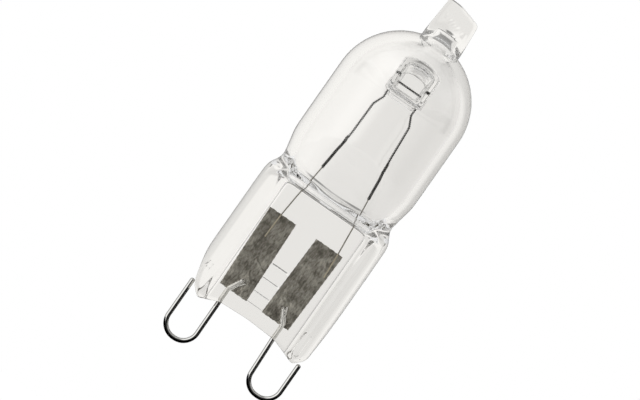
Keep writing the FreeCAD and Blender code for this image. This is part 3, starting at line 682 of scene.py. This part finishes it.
# Routes of the pins and of the strands that the welding pressed out: across, up, bend radius
PIN_RADIUS, PIN_FORWARDS, LOOP_DEPTH = 0.25, 0.125, -5.63
PINS = {
    "left": ((-6.65, 0.25, 0), (-6.65, LOOP_DEPTH, 1.62), (-3.27, LOOP_DEPTH, 1.62), (-3.3, 0, 0.9),
             (-3.3, 1.4, 0.9), (-2.45, 3.05, 0)),
    "right": ((6.7, -0.75, 0), (6.7, LOOP_DEPTH, 1.61), (3.33, LOOP_DEPTH, 1.61), (3.1, 0, 0.9),
              (3.1, 1.4, 0.9), (2.15, 3.05, 0)),
}
PIN_WELD, STRAND_WELD = (1.7, 0.23, 0.17), (0.8, 0.1, 0.08)  # length, width and thickness
STRAND_RADIUS, STRAND_FORWARDS = 0.11, 0.02
STRANDS = {
    "left": ((-3.05, 1.3, 0), (-2.75, 2.0, 0.5), (-2.15, 2.75, 0)),
    "right": ((3.3, 1.45, 0), (3.0, 2.1, 0.5), (2.75, 2.45, 0.4), (2.45, 3.3, 0)),
}
WELD_WAVES = ((0.14, 9), (0.1, 23))
WIRE_TAPER, BLUNT_END = 1.2, 0.02  # a weld's taper in radii, and the least share left at an end


def wavy(t, waves):
    """Waves laid over each other."""
    return sum(rise * np.sin(t * count) for rise, count in waves)


def bent_route(corners, step=0.05):
    """Points along straight runs and round bends, in millimetres. A corner is (x, z, bend radius)."""
    route = []
    for i, (x, z, radius) in enumerate(corners):
        here = np.array([x, z])
        if i in (0, len(corners) - 1):
            route.append(here[None])
            continue
        before = np.array(corners[i - 1][:2]) - here
        after = np.array(corners[i + 1][:2]) - here
        before, after = before / np.linalg.norm(before), after / np.linalg.norm(after)
        opening = math.acos(np.clip(before @ after, -1, 1))
        reach = radius / math.tan(opening / 2)
        inward = (before + after) / np.linalg.norm(before + after)
        middle = here + inward * radius / math.sin(opening / 2)
        start, end = here + before * reach - middle, here + after * reach - middle
        turn = math.atan2(start[0] * end[1] - start[1] * end[0], start @ end)
        angles = np.linspace(0, turn, max(int(abs(turn) * radius / step), 2))
        cosine, sine = np.cos(angles), np.sin(angles)
        route.append(middle + np.stack([start[0] * cosine - start[1] * sine,
                                        start[0] * sine + start[1] * cosine], axis=1))
    route = np.concatenate(route)
    along = np.concatenate([[0], np.cumsum(np.linalg.norm(np.diff(route, axis=0), axis=1))])
    places = np.linspace(0, along[-1], int(along[-1] / step) + 1)
    evenly = [np.interp(places, along, route[:, axis]) for axis in (0, 1)]
    return np.stack(evenly, axis=1), places


def drawn_wire(corners, radius, forwards, blunt=0.2, weld=None, sides=20):
    """A closed round wire along a route, in millimetres. Its start is rounded. Its weld, given as
    (length, width, thickness), is squeezed flat and a little uneven."""
    route, along = bent_route(corners)
    heading = np.gradient(route, axis=0)
    heading /= np.linalg.norm(heading, axis=1, keepdims=True)
    across = np.stack([-heading[:, 1], heading[:, 0]], axis=1)
    round_end = np.sqrt(np.clip(1 - (1 - np.clip(along / blunt, 0, 1)) ** 2, BLUNT_END, 1))
    wide, thick = radius * round_end, radius * round_end
    if weld:
        stretch, width, thickness = weld
        left = along[-1] - along
        flat = ease(1 - left / stretch)
        uneven = 1 + wavy(left, WELD_WAVES) * flat
        wide = wide * (1 - flat) + width * flat * uneven
        thick = thick * (1 - flat) + thickness * flat
        tapered = np.sqrt(np.clip(left / (radius * WIRE_TAPER), BLUNT_END, 1))
        wide, thick = wide * tapered, thick * tapered
    angles = np.arange(sides) * 2 * math.pi / sides
    cosine, sine = np.cos(angles)[None, :, None], np.sin(angles)[None, :, None]
    seen = route[:, None] + across[:, None] * cosine * wide[:, None, None]
    depth = (sine * thick[:, None, None])[:, :, 0] - forwards
    points = np.stack([seen[:, :, 0], depth, seen[:, :, 1]], axis=2).reshape(-1, 3)
    ends = np.array([[route[0, 0], -forwards, route[0, 1]], [route[-1, 0], -forwards, route[-1, 1]]])
    rows = np.arange(len(route) - 1)[:, None] * sides
    this, following = np.arange(sides), (np.arange(sides) + 1) % sides
    faces = np.stack([rows + this, rows + following, rows + sides + following, rows + sides + this],
                     axis=2).reshape(-1, 4).tolist()
    last = (len(route) - 1) * sides
    first_pole, last_pole = len(points), len(points) + 1
    faces += [[first_pole, b, a] for a, b in zip(this.tolist(), following.tolist())]
    faces += [[last_pole, last + a, last + b] for a, b in zip(this.tolist(), following.tolist())]
    return np.concatenate([points, ends]), faces


def one_mesh(name, parts):
    """Join parts, each points in millimetres and faces, to one smooth object, faces outwards."""
    points, faces, shift = [], [], 0
    for part_points, part_faces in parts:
        points.append(part_points * MM)
        faces += [[corner + shift for corner in face] for face in part_faces]
        shift += len(part_points)
    piece = mesh_object(name, np.concatenate(points), faces)
    outwards = bmesh.new()
    outwards.from_mesh(piece.data)
    bmesh.ops.recalc_face_normals(outwards, faces=outwards.faces)
    outwards.to_mesh(piece.data)
    outwards.free()
    return piece


def foil_relief(x, z, side):
    """How far the foil bulges to the front: drawn streaks, creases, and a blister on the right."""
    bulge = sum(rise * np.sin(x * waves + sway * np.sin(z * along + x * across))
                for rise, waves, sway, along, across in STREAKS)
    rise, waves, sway, along, across = DENTS
    bulge = bulge + rise * np.sin(z * waves + sway * np.sin(x * along)) * np.sin(x * across)
    for (x0, z0, x1, z1), wide, high in CREASES[side]:
        run, climb = x1 - x0, z1 - z0
        part = np.clip(((x - x0) * run + (z - z0) * climb) / (run * run + climb * climb), 0, 1)
        bulge = bulge + high * mound(np.hypot(x - x0 - part * run, z - z0 - part * climb), wide)
    if side == "right":
        away = np.hypot((x - BLISTER[0]) / BLISTER_SHAPE, z - BLISTER[1])
        bulge = bulge + BLISTER_RISE * mound(away - BLISTER_RING[0], BLISTER_RING[1])
    return bulge


def etched_foil(side, corners):
    """A closed foil between its four corners, thinned to a feather edge at its sides."""
    u, v = np.meshgrid(*(np.linspace(0, 1, count) for count in FOIL_POINTS), indexing="ij")
    weights = ((1 - u) * (1 - v), u * (1 - v), u * v, (1 - u) * v)
    x, z = (sum(weight * corner[axis] for weight, corner in zip(weights, corners))
            for axis in (0, 1))
    x = x + wavy(z, SIDE_WAVES) * (2 * u - 1) ** 4
    z = z + wavy(x, END_WAVES) * (2 * v - 1) ** 8
    from_side = np.minimum(u, 1 - u)
    from_rim = np.minimum(from_side, np.minimum(v, 1 - v) * 3)
    bulge = foil_relief(x, z, side) * ease(from_rim * RELIEF_RISE)
    half = FOIL_THICKNESS / 2 * (FEATHER + (1 - FEATHER) * ease(from_side * FEATHER_RISE))
    middle = FOIL_FRONT + FOIL_THICKNESS / 2 - bulge
    front = np.stack([x, middle - half, z], axis=2).reshape(-1, 3)
    back = np.stack([x, middle + half, z], axis=2).reshape(-1, 3)
    count = len(front)
    number = np.arange(count).reshape(u.shape)
    quads = np.stack([number[:-1, :-1], number[1:, :-1], number[1:, 1:], number[:-1, 1:]],
                     axis=2).reshape(-1, 4)
    rim = np.concatenate([number[:, 0], number[-1, 1:], number[-2::-1, -1], number[0, -2:0:-1]])
    after = np.roll(rim, -1)
    sides = np.stack([rim, rim + count, after + count, after], axis=1)
    faces = quads.tolist() + (quads[:, ::-1] + count).tolist() + sides.tolist()
    return np.concatenate([front, back]), faces


# Coils

COIL_STEPS, COIL_SIDES, BEND_POINTS = 12, 6, 12  # to a turn, round the wire and at each bend
# Routes in millimetres: across and up
FILAMENT = ((-2.19, 20.3), (-2.139, 20.8), (-2.06, 24.4), (-1.6, 25.5), (-1.75, 27.55),
            (1.72, 27.55), (1.66, 25.5), (2.2, 24.4), (2.461, 20.8), (2.52, 20.3))
THIN_LEGS = (24.6, 25.4)  # heights between which the coil thins to its upper legs
THIN_COIL = 0.6  # radius of the coil there, beside its radius below
SLEEVES = {"left": (-2.58, -2.19), "right": (2.97, 2.52)}  # where a sleeve's foot and head stand
SLEEVE_REST = 0.05  # between a sleeve's lowest turn and the bottom of its node
NOT_THIN = 1.0  # a height in metres, far above the lamp, so that a sleeve stays as wide as it is


def coil_tree(material):
    """Geometry Nodes that wind a wire round a route."""
    tree = bpy.data.node_groups.new("wound_wire", "GeometryNodeTree")
    tree.is_modifier = True
    face = tree.interface
    face.new_socket("Geometry", in_out="INPUT", socket_type="NodeSocketGeometry")
    for name in ("Radius", "Thin Radius", "Pitch", "Wire", "Bend", "Thin From", "Thin To"):
        face.new_socket(name, in_out="INPUT", socket_type="NodeSocketFloat")
    face.new_socket("Geometry", in_out="OUTPUT", socket_type="NodeSocketGeometry")
    given = add(tree, "NodeGroupInput").outputs
    corners = add(tree, "GeometryNodeFilletCurve", {"mode": "POLY"}, Curve=given["Geometry"],
                  Count=BEND_POINTS, Radius=given["Bend"], Limit_Radius=True)
    whole = add(tree, "GeometryNodeCurveLength", Curve=corners)
    count = add(tree, "ShaderNodeMath", OVER, n0=whole, n1=given["Pitch"])
    steps = add(tree, "ShaderNodeMath", TIMES, n0=count, n1=float(COIL_STEPS))
    route = add(tree, "GeometryNodeResampleCurve", {"mode": "COUNT"}, Curve=corners, Count=steps)
    travelled = add(tree, "GeometryNodeSplineParameter").outputs["Length"]
    turns = add(tree, "ShaderNodeMath", OVER, n0=travelled, n1=given["Pitch"])
    angle = add(tree, "ShaderNodeMath", TIMES, n0=turns, n1=2 * math.pi)
    cosine = add(tree, "ShaderNodeMath", {"operation": "COSINE"}, n0=angle)
    sine = add(tree, "ShaderNodeMath", {"operation": "SINE"}, n0=angle)
    normal = add(tree, "GeometryNodeInputNormal")
    tangent = add(tree, "GeometryNodeInputTangent")
    side = add(tree, "ShaderNodeVectorMath", {"operation": "CROSS_PRODUCT"}, n0=tangent, n1=normal)
    out = add(tree, "ShaderNodeVectorMath", SCALED, n0=normal, Scale=cosine)
    over = add(tree, "ShaderNodeVectorMath", SCALED, n0=side, Scale=sine)
    spoke = add(tree, "ShaderNodeVectorMath", {"operation": "ADD"}, n0=out, n1=over)
    height = add(tree, "ShaderNodeSeparateXYZ", n0=add(tree, "GeometryNodeInputPosition")).outputs[2]
    thin_in = add(tree, "ShaderNodeMapRange", SMOOTH, Value=height, From_Min=given["Thin From"],
                  From_Max=given["Thin To"])
    reach = add(tree, "ShaderNodeMapRange", Value=thin_in, To_Min=given["Radius"],
                To_Max=given["Thin Radius"])
    offset = add(tree, "ShaderNodeVectorMath", SCALED, n0=spoke, Scale=reach)
    helix = add(tree, "GeometryNodeSetPosition", Geometry=route, Offset=offset)
    section = add(tree, "GeometryNodeCurvePrimitiveCircle", Resolution=COIL_SIDES, Radius=given["Wire"])
    wire = add(tree, "GeometryNodeCurveToMesh", Curve=helix, Profile_Curve=section, Fill_Caps=True)
    smooth = add(tree, "GeometryNodeSetShadeSmooth", Geometry=wire)
    real = add(tree, "GeometryNodeRealizeInstances", Geometry=smooth)
    finished = add(tree, "GeometryNodeSetMaterial", Geometry=real, Material=material)
    add(tree, "NodeGroupOutput", Geometry=finished)
    return tree


def wound(name, tree, corners, **sizes):
    """Wind a wire along corners and leave it as a plain mesh."""
    curve = bpy.data.curves.new(f"{name}_route", "CURVE")
    curve.dimensions = "3D"
    spline = curve.splines.new("POLY")
    spline.points.add(len(corners) - 1)
    for point, (x, z) in zip(spline.points, corners):
        point.co = (x, 0.0, z, 1.0)
    route = new_object(f"{name}_route", curve)
    modifier = route.modifiers.new("Wind", "NODES")
    modifier.node_group = tree
    sockets = {item.name: item.identifier for item in tree.interface.items_tree
               if item.in_out == "INPUT"}
    for key, value in sizes.items():
        modifier[sockets[key.replace("_", " ").title()]] = value
    evaluated = route.evaluated_get(bpy.context.evaluated_depsgraph_get())
    mesh = bpy.data.meshes.new_from_object(evaluated)
    mesh.name = name
    bpy.data.objects.remove(route)
    bpy.data.curves.remove(curve)
    return new_object(name, mesh)


def settle(piece, node):
    """Let a piece stand for a node of the model: it rides on the model's body, and the node is hidden.
    """
    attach(piece, BODY)
    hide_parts(node)


class OBJECT_OT_capsule_glass(bpy.types.Operator):
    """Build the quartz envelope"""
    bl_idname = "object.capsule_glass"
    bl_label = "Glass"

    def execute(self, context):
        s = context.scene.capsule_glass
        lines = [both_sides(ACROSS), both_sides(THROUGH), grid_lines(UP)]
        glass = mesh_object("quartz_envelope", *surface(glass_form, lines, s))
        glass.data.materials.append(quartz_material(context.scene.capsule_colours))
        settle(glass, "envelope")
        return {"FINISHED"}


class OBJECT_OT_capsule_coils(bpy.types.Operator):
    """Wind the filament and its two sleeves"""
    bl_idname = "object.capsule_coils"
    bl_label = "Coils"

    def execute(self, context):
        c = context.scene.capsule_coils
        tungsten = wire_material("drawn_tungsten", context.scene.capsule_colours.tungsten,
                                 roughness=0.4, grain=0.3)
        tree = coil_tree(tungsten)
        for side, (foot, head) in SLEEVES.items():
            low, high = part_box(f"leg_sleeve_{side}")
            ends = [(foot * MM, low.z + SLEEVE_REST * MM), (head * MM, high.z)]
            sleeve = wound(f"wound_sleeve_{side}", tree, ends, pitch=c.sleeve_pitch,
                           radius=c.sleeve_radius - c.sleeve_wire / 2, wire=c.sleeve_wire / 2,
                           thin_radius=c.sleeve_radius, thin_from=NOT_THIN, thin_to=2 * NOT_THIN)
            settle(sleeve, f"leg_sleeve_{side}")
        thin_from, thin_to = (height * MM for height in THIN_LEGS)
        filament = wound("wound_filament", tree, [(x * MM, z * MM) for x, z in FILAMENT],
                         pitch=c.coil_pitch, radius=c.coil_radius - c.coil_wire / 2,
                         wire=c.coil_wire / 2, bend=c.bend, thin_radius=c.coil_radius * THIN_COIL,
                         thin_from=thin_from, thin_to=thin_to)
        settle(filament, "filament")
        return {"FINISHED"}


class OBJECT_OT_capsule_metals(bpy.types.Operator):
    """Finish the foils, the pins and the inner leads"""
    bl_idname = "object.capsule_metals"
    bl_label = "Metals"

    def execute(self, context):
        colours = context.scene.capsule_colours
        foil = foil_material(colours)
        pin = wire_material("polished_molybdenum_wire", colours.pin, roughness=0.06, grain=0.08)
        lead = lead_material(colours)
        for side in ("left", "right"):
            strip = one_mesh(f"etched_foil_{side}", [etched_foil(side, FOIL_CORNERS[side])])
            strip.data.materials.append(foil)
            settle(strip, f"foil_{side}")
            looped = one_mesh(f"looped_pin_{side}", [
                drawn_wire(PINS[side], PIN_RADIUS, PIN_FORWARDS, weld=PIN_WELD),
                drawn_wire(STRANDS[side], STRAND_RADIUS, STRAND_FORWARDS, weld=STRAND_WELD)])
            looped.data.materials.append(pin)
            settle(looped, f"pin_{side}")
            finish_node(f"inner_lead_{side}", lead)
        return {"FINISHED"}


class OBJECT_OT_capsule_stage(bpy.types.Operator):
    """Lay the floor, light the lamp and aim the camera"""
    bl_idname = "object.capsule_stage"
    bl_label = "Stage"

    def execute(self, context):
        g = context.scene.capsule_stage
        lay_floor(g)
        light_world(context.scene, g)
        aim_camera(context.scene, g)
        context.scene.view_settings.view_transform = "Standard"
        context.scene.cycles.max_bounces = g.bounces
        context.scene.cycles.glossy_bounces = g.bounces
        context.scene.cycles.transmission_bounces = g.bounces
        return {"FINISHED"}


FLOOR_SIDES = 96
# Brightness behind the glass from left to right, as place and linear grey
BEHIND = ((-1.0, 0.6), (-0.85, 1.0), (-0.07, 1.0), (-0.01, 0.87), (0.01, 0.87), (0.07, 0.8),
          (0.4, 0.78), (0.6, 0.98), (0.85, 0.98), (1.0, 0.6))
# Fades of the light: along which part of the direction, from where, to where, and the light
# before and after
FADES = {
    "steep": ("up or down", 0.65, 0.88, 1.0, 0.08),
    "low strip": ("up", -0.22, -0.17, 0.3, 1.0),
    "beside the strip": ("aside", 0.03, 0.12, 0.0, 1.0),
    "left wall": ("right", -0.5, -0.2, 1.15, 0.02),
    "wall in front": ("ahead", -0.5, 0.2, 1.0, 0.35),
    "far": ("ahead", 0.85, 0.98, 0.0, 0.1),
    "overhead": ("up", 0.3, 0.8, 0.0, 0.45),
    "half ahead": ("ahead", -0.4, 0.0, 0.0, 1.0),
}
FRONT_LEAST = 0.42  # least light through the glass from the room in front
DAYLIGHT = 0.85  # on all that is neither seen through glass nor mirrored
CLIP = 20  # how many times nearer and farther than the lamp the camera sees


def lay_floor(g):
    """A round white board below the lamp."""
    turns = [2 * math.pi * i / FLOOR_SIDES for i in range(FLOOR_SIDES)]
    rim = [(g.floor_radius * math.cos(turn), g.floor_radius * math.sin(turn), g.floor_drop)
           for turn in turns]
    floor = mesh_object("floor", np.array(rim), [range(FLOOR_SIDES)])
    floor.data.materials.append(floor_material())


def ramp_through(colours):
    """Set a colour ramp to the brightness behind the glass."""
    while len(colours.elements) < len(BEHIND):
        colours.elements.new(0.5)
    for element, (place, grey) in zip(colours.elements, BEHIND):
        element.position = (place + 1) / 2
        element.color = (grey, grey, grey, 1)


def light_world(scene, g):
    """Light from all round, as a function of direction.

    Straight on, the camera sees white. Through the glass it sees a pale warm grey behind, with a
    narrow darker strip straight ahead from just below level down. Steeply up and down it is dark,
    and the room in front is dim, so that bent light draws dark lines. Mirrored by metal and glass
    there are a bright wall to the left, which gives round wire its streak, a light overhead and a
    faint one straight behind.
    """
    world = bpy.data.worlds.new("studio")
    scene.world = world
    world.use_nodes = True
    tree = world.node_tree
    tree.nodes.clear()
    path = add(tree, "ShaderNodeLightPath").outputs
    direction = add(tree, "ShaderNodeTexCoord").outputs["Generated"]
    right, ahead, up = add(tree, "ShaderNodeSeparateXYZ", n0=direction).outputs
    parts = {"right": right, "ahead": ahead, "up": up,
             "aside": add(tree, "ShaderNodeMath", {"operation": "ABSOLUTE"}, n0=right),
             "up or down": add(tree, "ShaderNodeMath", {"operation": "ABSOLUTE"}, n0=up)}
    light = {name: add(tree, "ShaderNodeMapRange", SMOOTH, Value=parts[part], From_Min=start,
                       From_Max=end, To_Min=before, To_Max=after)
             for name, (part, start, end, before, after) in FADES.items()}
    strip = add(tree, "ShaderNodeMath", LARGER, n0=light["low strip"], n1=light["beside the strip"])
    level = add(tree, "ShaderNodeMath", TIMES, n0=light["steep"], n1=strip)
    half = add(tree, "ShaderNodeMapRange", Value=right, From_Min=-1.0, From_Max=1.0)
    across = add(tree, "ShaderNodeValToRGB", Fac=half)
    ramp_through(across.color_ramp)
    through = add(tree, "ShaderNodeMath", TIMES, n0=level, n1=across)
    wall = add(tree, "ShaderNodeMath", TIMES, n0=light["left wall"], n1=light["wall in front"])
    lit = add(tree, "ShaderNodeMath", LARGER, n0=wall, n1=light["far"])
    mirrored = add(tree, "ShaderNodeMath", LARGER, n0=lit, n1=light["overhead"])
    room = add(tree, "ShaderNodeMath", LARGER, n0=mirrored, n1=FRONT_LEAST)
    bent_light = add(tree, "ShaderNodeMix", {"data_type": "FLOAT"}, Factor=light["half ahead"],
                     A=room, B=through)
    plain = add(tree, "ShaderNodeBackground", Color=WHITE, Strength=DAYLIGHT)
    white = add(tree, "ShaderNodeBackground", Color=WHITE, Strength=1.0)
    seen_through = add(tree, "ShaderNodeBackground", Color=rgba(g.behind), Strength=bent_light)
    reflected = add(tree, "ShaderNodeBackground", Color=WHITE, Strength=mirrored)
    sky = plain
    for kind, seen in (("Glossy", reflected), ("Transmission", seen_through), ("Camera", white)):
        sky = add(tree, "ShaderNodeMixShader", Fac=path[f"Is {kind} Ray"], n1=sky, n2=seen)
    add(tree, "ShaderNodeOutputWorld", Surface=sky)


def aim_camera(scene, g):
    """Look along +Y with the lamp leaning to the right, as in the photo."""
    camera = bpy.data.cameras.new("camera")
    camera.lens = g.lens
    distance = g.span * g.lens / camera.sensor_width
    camera.clip_start, camera.clip_end = distance / CLIP, distance * CLIP
    eye = new_object("camera", camera)
    cosine, sine = math.cos(g.lean), math.sin(g.lean)
    right = Vector((cosine, 0, sine))
    top = Vector((-sine, 0, cosine))
    turn = Matrix((right, top, right.cross(top))).transposed()
    eye.matrix_world = Matrix.Translation((g.aim_x, -distance, g.aim_z)) @ turn.to_4x4()
    scene.camera = eye


class VIEW3D_PT_capsule(bpy.types.Panel):
    """Lists what the capsule bulb is made of"""
    bl_label = "Capsule bulb"
    bl_idname = "VIEW3D_PT_capsule"
    bl_space_type = "VIEW_3D"
    bl_region_type = "UI"
    bl_category = "Capsule bulb"

    def draw(self, context):
        for operator in OPERATORS:
            self.layout.operator(operator.bl_idname)


GROUPS = {"capsule_glass": GlassSizes, "capsule_coils": CoilSizes, "capsule_colours": FinishColours,
          "capsule_stage": StageSettings}
OPERATORS = (OBJECT_OT_capsule_glass, OBJECT_OT_capsule_metals, OBJECT_OT_capsule_coils,
             OBJECT_OT_capsule_stage)


def register():
    for name, group in GROUPS.items():
        bpy.utils.register_class(group)
        setattr(bpy.types.Scene, name, PointerProperty(type=group))
    for operator in OPERATORS:
        bpy.utils.register_class(operator)
    bpy.utils.register_class(VIEW3D_PT_capsule)


def unregister():
    bpy.utils.unregister_class(VIEW3D_PT_capsule)
    for operator in reversed(OPERATORS):
        bpy.utils.unregister_class(operator)
    for name, group in reversed(GROUPS.items()):
        delattr(bpy.types.Scene, name)
        bpy.utils.unregister_class(group)


def main():
    """Build everything."""
    register()
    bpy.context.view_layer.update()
    bpy.ops.object.capsule_glass()
    bpy.ops.object.capsule_metals()
    bpy.ops.object.capsule_coils()
    bpy.ops.object.capsule_stage()


if __name__ == "__main__":
    main()
